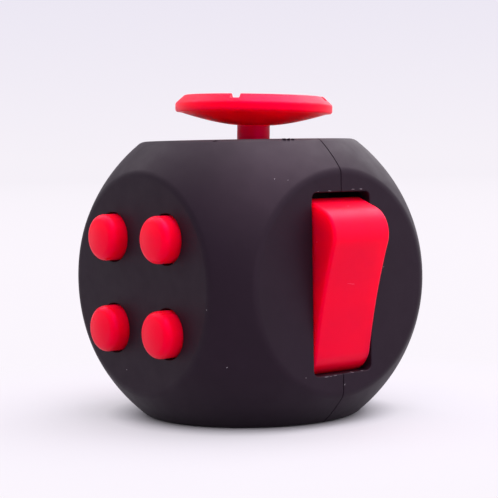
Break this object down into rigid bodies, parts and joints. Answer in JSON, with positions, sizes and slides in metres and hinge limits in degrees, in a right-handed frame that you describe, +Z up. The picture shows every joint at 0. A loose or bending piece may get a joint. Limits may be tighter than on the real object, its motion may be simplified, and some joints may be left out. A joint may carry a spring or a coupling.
{
  "type": "fidget cube",
  "caption": "Ball-shaped desk toy with six flats: joystick, push buttons, rocker, spinning dial, toothed wheels with a rolling ball, and a thumb rest.",
  "frame": {"origin": "on the surface that the part stands on, under the middle of the body", "axes": "+Z up through the joystick; -Y out of the rocker's flat; -X out of the buttons' flat; the parting plane is x = 0"},
  "size_m": [0.0372, 0.0397, 0.0385],
  "materials": {
    "casing": "soft-touch, very dark aubergine grey",
    "red_plastic": "satin crimson red",
    "black_plastic": "plain black moulding",
    "natural_plastic": "natural acetal",
    "grey_plastic": "grey moulding",
    "silicone": "translucent white silicone",
    "steel": "drawn steel wire and pins",
    "polished_steel": "polished bearing ball"
  },
  "bodies": {
    "casing": {"left_shell": "casing", "right_shell": "casing", "thumb_rest": "red_plastic", "button_plate": "grey_plastic", "button_plate_screw_upper": "steel", "button_plate_screw_lower": "steel", "rocker_housing": "black_plastic", "rocker_pin": "steel", "rocker_detent_spring": "steel", "joystick_housing": "black_plastic", "joystick_spring": "steel", "dial_base": "black_plastic", "dial_click_spring": "steel", "roller_axle": "steel", "roller_cradle": "black_plastic", "roller_click_spring": "steel", "ball_cup": "black_plastic", "button_dome_upper_front": "silicone", "button_dome_upper_rear": "silicone", "button_dome_lower_front": "silicone", "button_dome_lower_rear": "silicone"},
    "rocker": {"rocker": "red_plastic"},
    "gimbal": {"gimbal_ring": "natural_plastic", "gimbal_pin": "steel"},
    "joystick": {"joystick": "red_plastic", "joystick_dome": "black_plastic", "joystick_hub": "natural_plastic"},
    "dial": {"dial": "red_plastic"},
    "ball": {"ball": "polished_steel"},
    "button_upper_front": {"button_upper_front": "red_plastic"},
    "button_upper_rear": {"button_upper_rear": "red_plastic"},
    "button_lower_front": {"button_lower_front": "red_plastic"},
    "button_lower_rear": {"button_lower_rear": "red_plastic"},
    "roller_wheel_front": {"roller_wheel_front": "red_plastic"},
    "roller_wheel_middle": {"roller_wheel_middle": "red_plastic"},
    "roller_wheel_rear": {"roller_wheel_rear": "red_plastic"}
  },
  "joints": [
    {"name": "button_upper_front_press", "type": "slide", "parent": "casing", "child": "button_upper_front", "axis": [1, 0, 0], "range_m": [0, 0.0009], "stiffness_N_per_m": 1500, "deforming": ["button_dome_upper_front"]},
    {"name": "button_upper_rear_press", "type": "slide", "parent": "casing", "child": "button_upper_rear", "axis": [1, 0, 0], "range_m": [0, 0.0009], "stiffness_N_per_m": 1500, "deforming": ["button_dome_upper_rear"]},
    {"name": "button_lower_front_press", "type": "slide", "parent": "casing", "child": "button_lower_front", "axis": [1, 0, 0], "range_m": [0, 0.0009], "stiffness_N_per_m": 1500, "deforming": ["button_dome_lower_front"]},
    {"name": "button_lower_rear_press", "type": "slide", "parent": "casing", "child": "button_lower_rear", "axis": [1, 0, 0], "range_m": [0, 0.0009], "stiffness_N_per_m": 1500, "deforming": ["button_dome_lower_rear"]},
    {"name": "rocker_tip", "type": "hinge", "parent": "casing", "child": "rocker", "pos_m": [0, -0.0115, 0.0165], "axis": [-1, 0, 0], "range_deg": [0, 29], "deforming": ["rocker_detent_spring"]},
    {"name": "joystick_tilt_fore_aft", "type": "hinge", "parent": "casing", "child": "gimbal", "pos_m": [0.00052, -0.00043, 0.026], "axis": [1, 0, 0], "range_deg": [-11, 11], "stiffness_Nm_per_rad": 0.02, "deforming": ["joystick_spring"]},
    {"name": "joystick_tilt_side", "type": "hinge", "parent": "gimbal", "child": "joystick", "pos_m": [0.00052, -0.00043, 0.026], "axis": [0, 1, 0], "range_deg": [-11, 11], "stiffness_Nm_per_rad": 0.02},
    {"name": "dial_spin", "type": "hinge", "parent": "casing", "child": "dial", "pos_m": [0, 0.0165, 0.0165], "axis": [0, 1, 0], "continuous": true, "deforming": ["dial_click_spring"]},
    {"name": "roller_wheel_front_spin", "type": "hinge", "parent": "casing", "child": "roller_wheel_front", "pos_m": [0.0135, 0, 0.0202], "axis": [0, 1, 0], "continuous": true, "deforming": ["roller_click_spring"]},
    {"name": "roller_wheel_middle_spin", "type": "hinge", "parent": "casing", "child": "roller_wheel_middle", "pos_m": [0.0135, 0, 0.0202], "axis": [0, 1, 0], "continuous": true},
    {"name": "roller_wheel_rear_spin", "type": "hinge", "parent": "casing", "child": "roller_wheel_rear", "pos_m": [0.0135, 0, 0.0202], "axis": [0, 1, 0], "continuous": true},
    {"name": "ball_roll", "type": "hinge", "parent": "casing", "child": "ball", "pos_m": [0.0145, 0, 0.0096], "axis": [0, 1, 0], "continuous": true}
  ]
}
